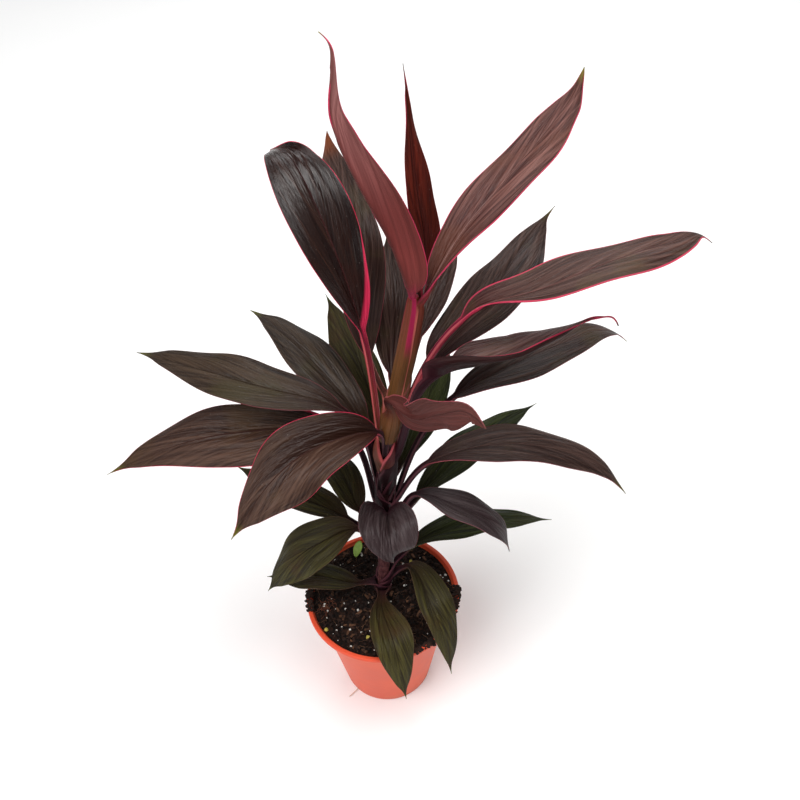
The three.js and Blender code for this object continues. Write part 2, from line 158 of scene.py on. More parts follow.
# A leaf: height of its node, the points its midrib runs through (foot of the blade first,
# tip last), width of the blade, its finish, and what sets it apart.
# Shape: az and rise = bearing and climb of the stalk as it leaves the cane; up = which way the
# upper side looks; sides = left and right share of the width; shape = how slowly the blade fills
# out and narrows (left and right may differ); fold = folding along the midrib from foot to tip;
# wave = height of the waves along its edges; drawn = how much narrower the drawn-out tip is, and
# where it begins and ends; curl = an edge that rolls up (side, where it begins and ends,
# degrees); lobe = how far the foot's left and right edges reach back; sheath = length of the
# foot that wraps the cane; clasp = how far round the cane it reaches, from its lower end up, in
# degrees (left and right).
# Colour: edge and edge_foot = width of the edge line, and what is added to it near the foot, left
# and right; channels = bands on the stalk (from and to across, from and to along, colour); own =
# what differs from its finish in LOOKS, with stalk = its row in STALKS, the half-shade key = how
# far the left and the right half are darkened with painted shade, and fade = how far up the
# foot's colour reaches.
LEAVES = {
    "leaf_01": dict(
        node=112, rise=20, run=[(-1, -12, 112), (8, -54, 112), (15, -75, 72)], width=28,
        sides=(1.15, 1.1), look="olive"),
    "leaf_02": dict(
        node=118, rise=15, run=[(-16, -2, 118), (-44, 1, 124), (-92, 17, 106)], width=27,
        look="olive"),
    "leaf_03": dict(
        node=122, rise=25, run=[(19, 3, 130), (38, -35, 125), (50, -58, 76)], width=31,
        sides=(1.15, 0.6), look="olive"),
    "leaf_04": dict(
        node=128, rise=45, run=[(22, 11, 142), (70, 26, 148), (139, 51, 120)], width=28,
        sides=(1.2, 0.8), look="green"),
    "leaf_05": dict(
        node=158, az=125, rise=35, run=[(-23, 21, 168), (-58, 31, 184), (-108, 60, 190)], width=28,
        sides=(1, 1.35), look="olive"),
    "leaf_06": dict(
        node=166, az=185, rise=40, run=[(-15, 3, 178), (-45, -3, 170), (-87, -8, 122)], width=40,
        up=(0, -0.35, 1), look="olive"),
    "leaf_07": dict(
        node=172, rise=40, run=[(28, 23, 184), (65, 53, 202), (129, 107, 198)], width=32,
        look="green"),
    "leaf_08": dict(
        node=176, rise=35, run=[(-12, 18, 178), (-24, 39, 194), (-49, 73, 202)], width=27,
        look="olive"),
    "leaf_09": dict(
        node=182, az=-45, rise=40,
        run=[(28, 0, 217), (57, -11, 216), (84, -20, 202), (93, -23, 178)], width=27,
        shape=((0.8, 1), (0.8, 1.25)), look="violet"),
    "leaf_10": dict(
        node=195, az=25, run=[(55, 18, 291), (101, 34, 307), (129, 50, 306), (157, 70, 300),
            (175, 80, 289), (186, 86, 276)], width=36, shape=((0.8, 1.25), (0.6, 1.4)),
        sides=(1, 1.2), look="mauve"),
    "leaf_11": dict(
        node=200, rise=40, run=[(8, -16, 217), (9, -36, 221), (10, -45, 215), (11, -47, 202)],
        width=45, sides=(1, 1.1), shape=((0.5, 0.8), (0.5, 1.2)), fold=(50, 35, 20, 0),
        lobe=(8, 8), look="violet"),
    "leaf_12": dict(
        node=203, az=190, run=[(-14, 12, 262), (-94, 13, 272), (-186, 14, 236)], width=42,
        wave=1.8, up=(0, -0.5, 1), sides=(1.3, 1), shape=((0.75, 1.55), (1.05, 1.2)),
        edge=(0.5, 0.2), edge_foot=(0.2, 2.4), look="crimson"),
    "leaf_13": dict(
        node=205, az=-25, rise=60,
        run=[(36, -2, 250), (98, -3, 266), (158, -14, 243), (168, -22, 234)], width=35,
        shape=((0.8, 1.05), (0.8, 1.25)), look="mauve"),
    "leaf_14": dict(
        node=212, az=-140, rise=75, run=[(4, -8, 288), (-42, -27, 290), (-89, -61, 252)], width=48,
        up=(0, -0.45, 1), sides=(1.2, 1), fold=(55, 35, 5, 0), edge=(0.2, 0.5),
        # painted shade on the right half of the folded blade, strongest towards its foot
        own=dict(painted_half_shade=(0.1, 0.85)), look="crimson"),
    "leaf_15": dict(
        node=216, az=75, run=[(18, 14, 232), (36, 42, 258), (59, 96, 276)], width=30,
        look="green"),
    "leaf_16": dict(
        node=218, az=150, rise=75, run=[(-16, 4, 296), (-75, 23, 306), (-162, 72, 297)], width=38,
        up=(0, -0.2, 1), shape=((0.8, 1.4), (0.9, 1)), look="plum"),
    "leaf_17": dict(
        node=228, az=130, run=[(-3, 9, 274), (-38, 45, 306), (-81, 87, 318)], width=36,
        shape=((0.8, 1.4), (0.8, 0.85)), look="plum"),
    "leaf_18": dict(
        node=232, az=80, run=[(7, 16, 242), (-5, 58, 282), (-31, 119, 306)], width=40,
        sides=(1.1, 0.7), look="olive"),
    "leaf_19": dict(
        node=240, az=35, run=[(40, 16, 322), (82, 42, 361), (123, 107, 371), (130, 114, 374)],
        width=40, shape=((0.6, 1.4), (0.7, 1.2)), sides=(0.95, 1.2), look="mauve"),
    "leaf_20": dict(
        node=248, az=-20, rise=60, run=[(50, -13, 343), (74, -10, 346), (109, 0, 352),
            (133, 14, 353), (144, 20, 351), (154, 26, 346), (160, 30, 336)], width=26,
        up=(0, 0.2, 1), sides=(1.73, 1.6), shape=((0.73, 2.36), (0.1, 1.48)), fold=(53, 12, 8, 8),
        drawn=(0.8, 0.55, 0.72), curl=[("right", -1, 1, 128)], lobe=(0, 15), edge=(0.3, 1.1),
        # its near-black foot colour is painted shade on the rolled base lobe
        edge_foot=(0, -1.1), own=dict(stalk="dark", foot=(0.012, 0.003, 0.003), fade=0.2,
            dark=(0.060, 0.020, 0.018), light=(0.21, 0.110, 0.100),
            under=((0.026, 0.007, 0.007), (0.10, 0.040, 0.034))), look="rosy"),
    "leaf_21": dict(
        node=262, az=0, rise=74, run=[(58, -3, 372), (63, -4, 378), (101, -8, 395), (140, 0, 406),
            (176, 12, 409), (195, 22, 407), (206, 26, 398)], width=40,
        shape=((0.6, 1.15), (1.5, 1.15)), sides=(0.95, 0.88), edge=(0.9, 1.0),
        edge_foot=(1.3, 0.8), look="rosy"),
    "leaf_22": dict(
        node=264, az=150, rise=86,
        run=[(-1, 17, 348), (-17, 38, 404), (-38, 72, 439), (-55, 109, 426)], width=44,
        shape=(0.9, 1), curl=[("right", 0.72, 1, 110)], edge=(0.25, 0.4), edge_foot=(0, 5.5),
        look="sheen"),
    "leaf_23": dict(
        node=296, az=-95,
        run=[(14, -18, 325), (27, -32, 324), (42, -45, 338), (57, -57, 350), (66, -70, 349)],
        width=28, up=(0.3, 0.9, 0.1), shape=(0.5, 0.7), fold=(20, 10, 5), wave=1.6,
        edge=(0.12, 0.12), own=dict(stalk="column"), look="dusky"),
    "leaf_24": dict(
        node=298, az=125, rise=60, run=[(1, 35, 312), (-3, 62, 384), (-20, 136, 424)], width=35,
        shape=((0.8, 0.85), (0.8, 1.25)), drawn=(0.2, 0.84, 0.95),
        own=dict(tip=(0.24, 0.06, 0.018), tip_from=0.84, stalk="column"), look="mauve"),
    "leaf_25": dict(
        node=302, az=80, rise=55, run=[(15, 30, 302), (17, 62, 340), (16, 106, 366)], width=26,
        own=dict(stalk="column"), look="mauve"),
    "leaf_26": dict(
        node=322, az=40, rise=55, run=[(33, 27, 334), (44, 49, 356), (63, 96, 368)], width=24,
        own=dict(stalk="column"), look="mauve"),
    "leaf_27": dict(
        node=385, rise=80, width=25, up=(0.3, 0.9, 0), sides=(1.4, 0.3), run=[(29, -15, 401),
            (21, -8, 426), (4, -4, 464), (-3, 1, 479), (-8, 6, 494), (-6, 14, 527),
            (-12, 30, 528)], shape=((0.4, 1.23), (0.15, 2.1)), drawn=(0.65, 0.6, 0.85),
        fold=(38, 36, 25, 20), edge=(0.2, 0.06), edge_foot=(0.2, 0.3), sheath=100,
        clasp=((75, 70, 40), (80, 70, 42)), channels=((-0.34, 0.12, -50, 12, (0.34, 0.010, 0.066)),
            # painted shade on the narrow right half, which is seen edge-on
            (-0.58, -0.34, -112, -22, (0.56, 0.130, 0.110))), own=dict(painted_half_shade=(0, 0.8)),
        look="young"),
    "leaf_28": dict(
        node=376, rise=75, run=[(38, -8, 397), (57, 8, 422), (84, 30, 443), (111, 54, 462),
            (126, 68, 476), (131, 76, 485)], width=33, shape=((0.7, 0.9), (1, 0.9)),
        edge=(0.5, 0.6), edge_foot=(0.4, 0.4), sheath=85, clasp=((80, 70, 42), (60, 55, 40)),
        # fade carries the dark foot colour far up the blade: painted shade on its base
        own=dict(dark=(0.045, 0.012, 0.010), light=(0.22, 0.096, 0.080), fade=0.6), look="young"),
    "leaf_29": dict(
        node=386, rise=85, run=[(37, 11, 402), (34, 16, 448), (29, 41, 506)], width=22,
        up=(0.5, -0.9, 0.2), sides=(0.8, 0.98), shape=(0.6, 1.8), sheath=60,
        clasp=((60, 50, 42), (60, 50, 42)), look="spear"),
}


# Finishes

class Signal:
    """A socket of a finish that can be reckoned with like a number."""

    def __init__(self, finish, socket):
        self.finish, self.socket = finish, socket

    def maths(self, operation, *values):
        return self.finish.node("ShaderNodeMath", {"operation": operation}, values)

    def __add__(self, other):
        return self.maths("ADD", self, other)

    def __sub__(self, other):
        return self.maths("SUBTRACT", self, other)

    def __rsub__(self, other):
        return self.maths("SUBTRACT", other, self)

    def __mul__(self, other):
        return self.maths("MULTIPLY", self, other)

    def __truediv__(self, other):
        return self.maths("DIVIDE", self, other)

    def __abs__(self):
        return self.maths("ABSOLUTE", self)

    __radd__ = __add__
    __rmul__ = __mul__


class Finish:
    """A procedural material for one of the plant's surfaces."""

    def __init__(self, name, **constants):
        self.material = bpy.data.materials.new(name)
        self.material.use_nodes = True
        self.tree = self.material.node_tree
        self.shader = self.tree.nodes["Principled BSDF"]
        for socket, value in constants.items():
            self.shader.inputs[socket.replace("_", " ")].default_value = value

    def node(self, kind, settings=None, values=(), out=0):
        """Adds a node: its settings first, then its sockets' values or links."""
        made = self.tree.nodes.new(kind)
        for key, value in (settings or {}).items():
            if key == "stops":
                ramp = made.color_ramp.elements
                while len(ramp) < len(value):
                    ramp.new(0.5)
                for stop, (place, colour) in zip(ramp, value):
                    stop.position, stop.color = place, (*colour, 1)
            else:
                setattr(made, key, value)
        pairs = values.items() if isinstance(values, dict) else enumerate(values)
        for key, value in pairs:
            if isinstance(value, Signal):
                self.tree.links.new(value.socket, made.inputs[key])
            elif value is not None:
                made.inputs[key].default_value = value
        return Signal(self, made.outputs[out])

    def wear(self, **links):
        """Feeds what changes over the surface to the shader."""
        for socket, value in links.items():
            self.tree.links.new(value.socket, self.shader.inputs[socket.replace("_", " ")])

    def place(self):
        return self.node("ShaderNodeTexCoord", out="Object")

    def axes(self, vector):
        split = self.tree.nodes.new("ShaderNodeSeparateXYZ")
        self.tree.links.new(vector.socket, split.inputs[0])
        return [Signal(self, socket) for socket in split.outputs]

    def vector(self, x, y, z=0.0):
        return self.node("ShaderNodeCombineXYZ", None, (x, y, z))

    def grain(self, vector, scale, detail=2.0, rough=0.5):
        return self.node("ShaderNodeTexNoise", None, {
            "Vector": vector, "Scale": scale, "Detail": detail, "Roughness": rough})

    def step(self, signal, low, high, start=0.0, end=1.0):
        """A soft step from start to end as the signal goes from low to high."""
        return self.node("ShaderNodeMapRange", {"interpolation_type": "SMOOTHSTEP"},
                         (signal, low, high, start, end))

    def blend(self, share, first, second):
        """Colour that goes from the first to the second as the share goes from 0 to 1."""
        colours = [c if isinstance(c, Signal) else (*c, 1) for c in (first, second)]
        return self.node("ShaderNodeMix", {"data_type": "RGBA"},
                         {0: share, 6: colours[0], 7: colours[1]}, out=2)

    def relief(self, height, depth, strength):
        return self.node("ShaderNodeBump", None,
                         {"Strength": strength, "Distance": depth, "Height": height})


# Stalks: colours from the cane (0) to the foot of the blade (1), of the right side, of the edges
# and of the sheath's lower end
STALKS = {
    "dark": ([(0.08, (0.014, 0.004, 0.006)), (0.42, (0.022, 0.005, 0.010)),
              (0.95, (0.038, 0.006, 0.013))], (0.020, 0.004, 0.008), (0.095, 0.026, 0.036),
             (0.010, 0.003, 0.004)),
    "rosy": ([(0.08, (0.050, 0.008, 0.010)), (0.24, (0.52, 0.125, 0.090)),
              (0.46, (0.50, 0.090, 0.085)), (0.70, (0.20, 0.010, 0.042))],
             (0.26, 0.030, 0.042), (0.60, 0.110, 0.130), (0.060, 0.014, 0.010)),
    "pink": ([(0.02, (0.16, 0.040, 0.024)), (0.16, (0.46, 0.120, 0.080)),
              (0.6, (0.42, 0.065, 0.065)), (0.95, (0.30, 0.016, 0.052))],
             (0.15, 0.008, 0.028), (0.60, 0.100, 0.105), (0.070, 0.022, 0.010)),
    "column": ([(0.0, (0.105, 0.040, 0.014)), (0.3, (0.080, 0.022, 0.012)),
                (0.7, (0.034, 0.007, 0.008))], (0.070, 0.018, 0.012), (0.30, 0.070, 0.060),
               (0.085, 0.036, 0.012)),
    "crown": ([(0.02, (0.13, 0.030, 0.018)), (0.45, (0.16, 0.034, 0.018)),
               (0.8, (0.17, 0.016, 0.030))], (0.12, 0.022, 0.014), (0.26, 0.014, 0.036),
              (0.115, 0.048, 0.015)),
}

# Finishes of the leaves: dark and light of the streaks, colour towards the foot, edge line, stalk,
# midrib, tip and where it begins, underside low and high, patches and their share, roughness
LOOKS = {
    "crimson": dict(
        dark=(0.018, 0.0045, 0.002), light=(0.095, 0.049, 0.033), foot=(0.024, 0.004, 0.003),
        edge=(0.40, 0.008, 0.045), stalk="dark", rib=(0.11, 0.045, 0.036), tip=(0.22, 0.21, 0.015),
        tip_from=0.90, under=((0.11, 0.036, 0.028), (0.16, 0.060, 0.045)),
        patch=(0.080, 0.040, 0.014), patches=0.35, rough=0.27),
    "dusky": dict(
        dark=(0.060, 0.018, 0.014), light=(0.15, 0.050, 0.042), foot=(0.036, 0.006, 0.006),
        edge=(0.20, 0.030, 0.040), stalk="dark", rib=(0.12, 0.040, 0.034),
        tip=(0.15, 0.050, 0.044), under=((0.110, 0.027, 0.023), (0.175, 0.050, 0.042)),
        patch=(0.10, 0.036, 0.028), patches=0.2, rough=0.36),
    "sheen": dict(
        dark=(0.008, 0.0015, 0.001), light=(0.028, 0.009, 0.005), foot=(0.020, 0.002, 0.002),
        edge=(0.62, 0.012, 0.070), stalk="pink", rib=(0.090, 0.020, 0.020),
        tip=(0.24, 0.090, 0.075), tip_from=0.87,
        under=((0.070, 0.020, 0.016), (0.24, 0.090, 0.075)), patch=(0.022, 0.003, 0.001),
        patches=0.3, rough=0.10, gloss=0.42),
    "rosy": dict(
        dark=(0.030, 0.009, 0.006), light=(0.130, 0.064, 0.051), foot=(0.050, 0.008, 0.009),
        edge=(0.50, 0.022, 0.070), stalk="rosy", rib=(0.22, 0.100, 0.088),
        tip=(0.055, 0.018, 0.012), under=((0.070, 0.024, 0.020), (0.12, 0.050, 0.042)),
        patch=(0.080, 0.048, 0.020), patches=0.35, rough=0.26),
    "young": dict(
        dark=(0.060, 0.018, 0.012), light=(0.24, 0.102, 0.082), foot=(0.040, 0.006, 0.006),
        edge=(0.48, 0.020, 0.075), stalk="crown", rib=(0.30, 0.150, 0.130),
        tip=(0.30, 0.26, 0.040), under=((0.18, 0.036, 0.033), (0.42, 0.180, 0.170)),
        patch=(0.12, 0.040, 0.024), patches=0.3, rough=0.34),
    "spear": dict(
        dark=(0.050, 0.004, 0.002), light=(0.115, 0.012, 0.005), foot=(0.080, 0.005, 0.004),
        edge=(0.26, 0.010, 0.030), stalk="crown", rib=(0.050, 0.005, 0.003),
        tip=(0.080, 0.040, 0.014), under=((0.085, 0.008, 0.005), (0.11, 0.018, 0.010)),
        patch=(0.066, 0.010, 0.003), patches=0.2, rough=0.42, gloss=0.16),
    "plum": dict(
        dark=(0.013, 0.005, 0.002), light=(0.062, 0.038, 0.023), foot=(0.020, 0.004, 0.003),
        edge=(0.14, 0.022, 0.028), stalk="dark", rib=(0.070, 0.046, 0.032),
        tip=(0.14, 0.140, 0.030), tip_from=0.90,
        under=((0.055, 0.026, 0.020), (0.075, 0.040, 0.028)), patch=(0.042, 0.032, 0.010),
        patches=0.45, rough=0.24),
    "mauve": dict(
        dark=(0.018, 0.006, 0.004), light=(0.092, 0.050, 0.040), foot=(0.020, 0.003, 0.004),
        edge=(0.22, 0.024, 0.040), stalk="dark", rib=(0.10, 0.056, 0.046),
        tip=(0.16, 0.150, 0.020), tip_from=0.90,
        under=((0.060, 0.026, 0.020), (0.080, 0.040, 0.030)), patch=(0.056, 0.038, 0.016),
        patches=0.35, rough=0.25),
    "violet": dict(
        dark=(0.020, 0.009, 0.010), light=(0.072, 0.050, 0.052), foot=(0.016, 0.005, 0.007),
        edge=(0.14, 0.034, 0.044), stalk="dark", rib=(0.036, 0.020, 0.022),
        tip=(0.060, 0.046, 0.026), under=((0.050, 0.024, 0.022), (0.07, 0.038, 0.034)),
        patch=(0.034, 0.022, 0.020), patches=0.3, rough=0.34),
    "olive": dict(
        dark=(0.015, 0.010, 0.0015), light=(0.066, 0.056, 0.013), foot=(0.026, 0.009, 0.004),
        edge=(0.070, 0.034, 0.012), stalk="dark", rib=(0.024, 0.012, 0.004),
        tip=(0.13, 0.18, 0.010), under=((0.042, 0.044, 0.010), (0.056, 0.060, 0.014)),
        patch=(0.052, 0.020, 0.006), patches=0.5, rough=0.40, gloss=0.2),
    "green": dict(
        dark=(0.009, 0.012, 0.0015), light=(0.048, 0.060, 0.011), foot=(0.014, 0.008, 0.002),
        edge=(0.050, 0.046, 0.014), stalk="dark", rib=(0.040, 0.042, 0.012),
        tip=(0.11, 0.15, 0.010), under=((0.042, 0.050, 0.012), (0.052, 0.062, 0.016)),
        patch=(0.034, 0.032, 0.006), patches=0.3, rough=0.38, gloss=0.2),
}
EDGE = (0.2, 0.2)
EDGE_FOOT = (0.2, 0.2)


class LeafFinish(Finish):
    """What both sides of a leaf share. The UV map runs across and along the blade, and "form"
    holds millimetres from the midrib, along the blade and from the edge."""

    def __init__(self, name, spec, size, **constants):
        super().__init__(name, **constants)
        self.look = dict(LOOKS[spec["look"]], **spec.get("own", {}))
        self.channels = spec.get("channels", ())
        self.stalk_length, self.sheath, length, seed = size
        across, self.along, _ = self.axes(self.node("ShaderNodeUVMap", {"uv_map": "UVMap"}))
        self.from_rib, self.run, self.from_edge = self.axes(
            self.node("ShaderNodeAttribute", {"attribute_name": "form"}, out="Vector"))
        self.side = across * 2 - 1
        blade = self.step(self.run, -3, 8)
        log = self.node("ShaderNodeMath", {"operation": "LOGARITHM"},
                        (VEIN_REACH - abs(self.side), math.e))
        lean = (self.along + log / VEIN_LEAN) * length
        self.lines = lean * blade + (1 - blade) * self.side * 30
        half = self.step(self.side, -0.02, 0.02, 0, 40)
        self.fine = self.grain(self.vector(self.lines * 0.28 + seed, self.run / 130, half),
                               1, 3, 0.6)
        self.broad = self.grain(self.vector(self.lines * 0.035 + seed, self.run / 150, half), 1, 2)
        self.bands = self.grain(self.vector(self.side * 4.4 + seed, self.along * 0.8, half), 1, 2)
        self.hair = self.grain(self.vector(abs(self.from_rib) * 0.62 - self.run * 0.10 + seed,
                                           self.run / 170, half), 1, 2, 0.6)
        self.vein = self.node("ShaderNodeMath", {"operation": "SINE"},
                              (self.lines * (2 * math.pi / VEIN_SPACING),))
        self.edge, self.edge_foot = spec.get("edge", EDGE), spec.get("edge_foot", EDGE_FOOT)

    def painted_half_shade(self, colour, shade):
        """Paints shade on one half of the blade, darker than on the other, as the leaf's row asks.
        """
        if "painted_half_shade" not in self.look:
            return colour
        share = self.step(self.side, -0.04, 0.10, *self.look["painted_half_shade"])
        return self.blend(share * self.step(self.along, 0.85, 0.25), colour, shade)

    def margin(self, colour):
        """Lays the coloured edge line over the blade's colour."""
        line = self.step(self.side, -0.02, 0.02, *self.edge)
        foot = self.step(self.side, -0.02, 0.02, *self.edge_foot)
        width = line + foot * self.step(self.along, 0.42, 0.08) + 0.02
        ragged = self.from_edge / width + (self.fine - 0.5) * 0.5
        edge = (1 - self.step(ragged, 0.55, 1.05)) * self.step(self.along, 1.0, 0.94)
        pale = [min(1, c * 1.35 + 0.03) for c in self.look["edge"]]
        return self.blend(edge, colour, self.blend(self.step(self.fine, 0.4, 0.65),
                                                   self.look["edge"], pale))

    def stalk(self, colour):
        """Lays the stalk's colours, from the cane to the blade, over what lies below the foot."""
        stops, right, edge, lower = STALKS[self.look["stalk"]]
        place = self.run / self.stalk_length + 1
        down = (self.run + self.stalk_length) / -self.sheath
        tone = self.node("ShaderNodeValToRGB", {"stops": stops}, (place,))
        tone = self.blend(self.step(down, 0.05, 0.5), tone, lower)
        tone = self.blend(self.step(self.side, -0.1, 0.5) * self.step(place, 0.05, 0.2) * 0.75,
                          tone, right)
        for left_side, right_side, low, high, shade in self.channels:
            within = (self.step(self.side, left_side - 0.08, left_side + 0.08)
                      * self.step(self.side, right_side + 0.08, right_side - 0.08)
                      * self.step(self.run, low - 9, low + 9)
                      * self.step(self.run, high + 9, high - 9))
            tone = self.blend(within * 0.9, tone, shade)
        tone = self.blend(self.step(self.fine, 0.35, 0.65) * 0.5, tone,
                          self.node("ShaderNodeMix", {"data_type": "RGBA",
                                                      "blend_type": "MULTIPLY"},
                                    {0: 1.0, 6: tone, 7: (1.9, 1.7, 1.6, 1)}, out=2))
        line = (self.step(abs(self.side), 0.80, 0.93)
                * self.step(self.run + self.stalk_length, -24, -10))
        tone = self.blend(line * 0.8, tone, edge)
        return self.blend(1 - self.step(self.run, *FOOT_BLEND), colour, tone)


def leaf_finish(name, spec, size):
    """Upper side of one leaf: glossy streaks that lean off the midrib with the veins."""
    finish = LeafFinish(name, spec, size,
                        Specular_IOR_Level=LOOKS[spec["look"]].get("gloss", 0.24))
    look, along = finish.look, finish.along
    streak = finish.step(finish.fine * 0.25 + finish.hair * 0.35 + finish.broad * 0.15
                         + finish.bands * 0.25, 0.40, 0.62)
    colour = finish.blend(streak, look["dark"], look["light"])
    # darker towards the foot; where a leaf sets its own foot colour or fade (leaves 20 and 28) this
    # is painted shade at the base
    colour = finish.blend(finish.step(along, look.get("fade", 0.3), 0.0) * 0.75, colour,
                          look["foot"])
    # painted shade on one half of the blade, where the leaf asks for it
    colour = finish.painted_half_shade(colour, look["dark"])
    cloud = finish.grain(finish.place(), 30, 3)
    patch = finish.step(cloud, 0.62 - look["patches"] * 0.3, 0.72)
    colour = finish.blend(patch * 0.6, colour, look["patch"])
    rib = (1 - finish.step(abs(finish.from_rib), 0.3, 0.8)) * finish.step(along, 0.95, 0.3)
    colour = finish.blend(rib * 0.65, colour, look["rib"])
    tip = finish.step(along + (finish.fine - 0.5) * 0.12, look.get("tip_from", 0.93), 1.0)
    colour = finish.blend(tip, colour, look["tip"])
    colour = finish.stalk(finish.margin(colour))
    spots = finish.step(finish.grain(finish.place(), 700, 1), 0.74, 0.80) * 0.25
    colour = finish.blend(spots, colour, (0.30, 0.26, 0.24))
    shine = (finish.bands * 0.20 + finish.fine * 0.20 + (look["rough"] - 0.06)
             + (1 - finish.step(finish.run, *FOOT_BLEND)) * 0.22)
    relief = finish.relief(finish.vein * 0.05 + finish.fine * 0.5 + finish.hair * 0.7
                           + finish.broad * 0.6 + finish.bands * 3.4, 0.0011, 0.8)
    finish.wear(Base_Color=colour, Roughness=shine, Normal=relief)
    return finish.material


def under_finish(name, spec, size):
    """Underside of one leaf: duller, finely ribbed, with the midrib standing proud."""
    finish = LeafFinish(name, spec, size, Specular_IOR_Level=0.10)
    look = finish.look
    low, high = look["under"]
    colour = finish.blend(finish.step(finish.along, 0.25, 0.85), low, high)
    shade = finish.step(finish.fine * 0.3 + finish.hair * 0.4 + finish.broad * 0.3, 0.40, 0.60)
    colour = finish.blend((1 - shade) * 0.6, colour, [c * 0.45 for c in low])
    # painted shade on one half of the underside, where the leaf asks for it
    colour = finish.painted_half_shade(colour, [c * 0.3 for c in low])
    # darker along the midrib: painted shade in the midrib's fold
    rib = 1 - finish.step(abs(finish.from_rib), 0.5, 1.3)
    colour = finish.blend(rib * 0.6, colour, [c * 0.6 for c in low])
    tip = finish.step(finish.along + (finish.fine - 0.5) * 0.12, 0.95, 1.0)
    colour = finish.blend(tip, colour, look["tip"])
    colour = finish.stalk(finish.margin(colour))
    relief = finish.relief(finish.vein * 0.10 + finish.fine * 0.8 + finish.bands * 2.0,
                           0.0008, 0.6)
    finish.wear(Base_Color=colour, Roughness=finish.fine * 0.2 + 0.38, Normal=relief)
    return finish.material


def pot_finish():
    """Terracotta-coloured plastic: matt, faintly mottled, a deeper orange-red on the lip."""
    finish = Finish("pot_plastic", Roughness=0.5, Specular_IOR_Level=0.3)
    place = finish.place()
    _, _, height = finish.axes(place)
    cloud = finish.grain(place, 22, 3, 0.6)
    fine = finish.grain(place, 420, 2, 0.6)
    colour = finish.blend(finish.step(cloud, 0.3, 0.7), (0.70, 0.090, 0.036),
                          (0.80, 0.122, 0.050))
    lip = finish.step(height, 0.0985, 0.1005)
    colour = finish.blend(lip * 0.85, colour, (0.78, 0.080, 0.030))
    dust = finish.step(height, 0.014, 0.0) * finish.step(cloud, 0.4, 0.7)
    colour = finish.blend(dust * 0.35, colour, (0.50, 0.22, 0.16))
    finish.wear(Base_Color=colour, Roughness=cloud * 0.2 + 0.38,
                Normal=finish.relief(fine, 0.0002, 0.35))
    return finish.material


def peat_finish():
    """Damp peat: near black with rust-brown crumbs."""
    finish = Finish("peat", Roughness=0.85, Specular_IOR_Level=0.15)
    place = finish.place()
    crumb = finish.grain(place, 520, 4, 0.65)
    clump = finish.grain(place, 110, 3, 0.6)
    colour = finish.blend(finish.step(crumb, 0.42, 0.66), (0.0035, 0.002, 0.0015),
                          (0.026, 0.010, 0.006))
    colour = finish.blend(finish.step(clump, 0.55, 0.75) * 0.6, colour, (0.055, 0.024, 0.014))
    finish.wear(Base_Color=colour, Roughness=crumb * 0.4 + 0.6,
                Normal=finish.relief(crumb + clump, 0.0012, 0.8))
    return finish.material


# Loose bits: dark and light colour, roughness and how fine their grain is
BITS = {
    "peat_crumb": ((0.005, 0.0025, 0.002), (0.036, 0.014, 0.008), 0.85, 900),
    "bark": ((0.030, 0.012, 0.006), (0.16, 0.070, 0.035), 0.8, 900),
    "coir": ((0.060, 0.026, 0.013), (0.22, 0.11, 0.058), 0.8, 900),
    "perlite": ((0.55, 0.50, 0.45), (0.85, 0.82, 0.78), 0.9, 900),
    "plant_feed": ((0.45, 0.36, 0.06), (0.62, 0.52, 0.12), 0.5, 900),
    "rust_fibre": ((0.085, 0.022, 0.012), (0.26, 0.085, 0.045), 0.8, 900),
    "root": ((0.62, 0.42, 0.30), (0.80, 0.64, 0.50), 0.7, 900),
    "fresh_scrap": ((0.20, 0.34, 0.045), (0.36, 0.52, 0.11), 0.4, 300),
}


def bit_finish(name, dark, light, rough, scale):
    """Loose bits in the peat: bark, perlite, fibre, feed."""
    finish = Finish(name, Roughness=rough, Specular_IOR_Level=0.3)
    place = finish.place()
    fine = finish.grain(place, scale, 3, 0.6)
    broad = finish.grain(place, scale / 6, 2)
    colour = finish.blend(finish.step(fine * 0.5 + broad * 0.5, 0.35, 0.65), dark, light)
    finish.wear(Base_Color=colour, Roughness=fine * 0.2 + (rough - 0.1),
                Normal=finish.relief(fine, 0.0003, 0.6))
    return finish.material


def cane_finish():
    """Young cane: burgundy brown with darker rings where leaves have dropped."""
    finish = Finish("cane", Roughness=0.5, Specular_IOR_Level=0.15)
    place = finish.place()
    _, _, height = finish.axes(place)
    fine = finish.grain(finish.vector(*[a * s for a, s in zip(finish.axes(place),
                                                              (900, 900, 160))]), 1, 3)
    colour = finish.blend(finish.step(fine, 0.35, 0.65), (0.055, 0.014, 0.018),
                          (0.13, 0.045, 0.045))
    rings = finish.node("ShaderNodeMath", {"operation": "SINE"}, (height * 900,))
    ringed = finish.step(rings, 0.75, 1.0) * finish.step(height, 0.262, 0.245)
    colour = finish.blend(ringed * 0.6, colour, (0.030, 0.010, 0.010))
    colour = finish.blend(finish.step(height, 0.130, 0.170) * 0.8, colour, (0.014, 0.004, 0.005))
    finish.wear(Base_Color=colour, Roughness=fine * 0.2 + 0.4,
                Normal=finish.relief(fine, 0.0004, 0.5))
    return finish.material


# Making

def release():
    bpy.ops.object.select_all(action="DESELECT")


def take(*pieces):
    release()
    for piece in pieces:
        piece.select_set(True)
    bpy.context.view_layer.objects.active = pieces[0]


def new_piece(name):
    piece = bpy.context.object
    piece.name = name
    piece.data.name = name
    return piece


def settle(piece):
    """Puts the piece's place into its mesh, with its object at the origin."""
    take(piece)
    bpy.ops.object.transform_apply(location=True, rotation=True, scale=True)


def apply(piece, kind, **settings):
    take(piece)
    modifier = piece.modifiers.new(kind.title(), kind)
    for key, value in settings.items():
        setattr(modifier, key, value)
    bpy.ops.object.modifier_apply(modifier=modifier.name)


def dress(piece, *materials):
    piece.data.materials.clear()
    for material in materials:
        piece.data.materials.append(material)


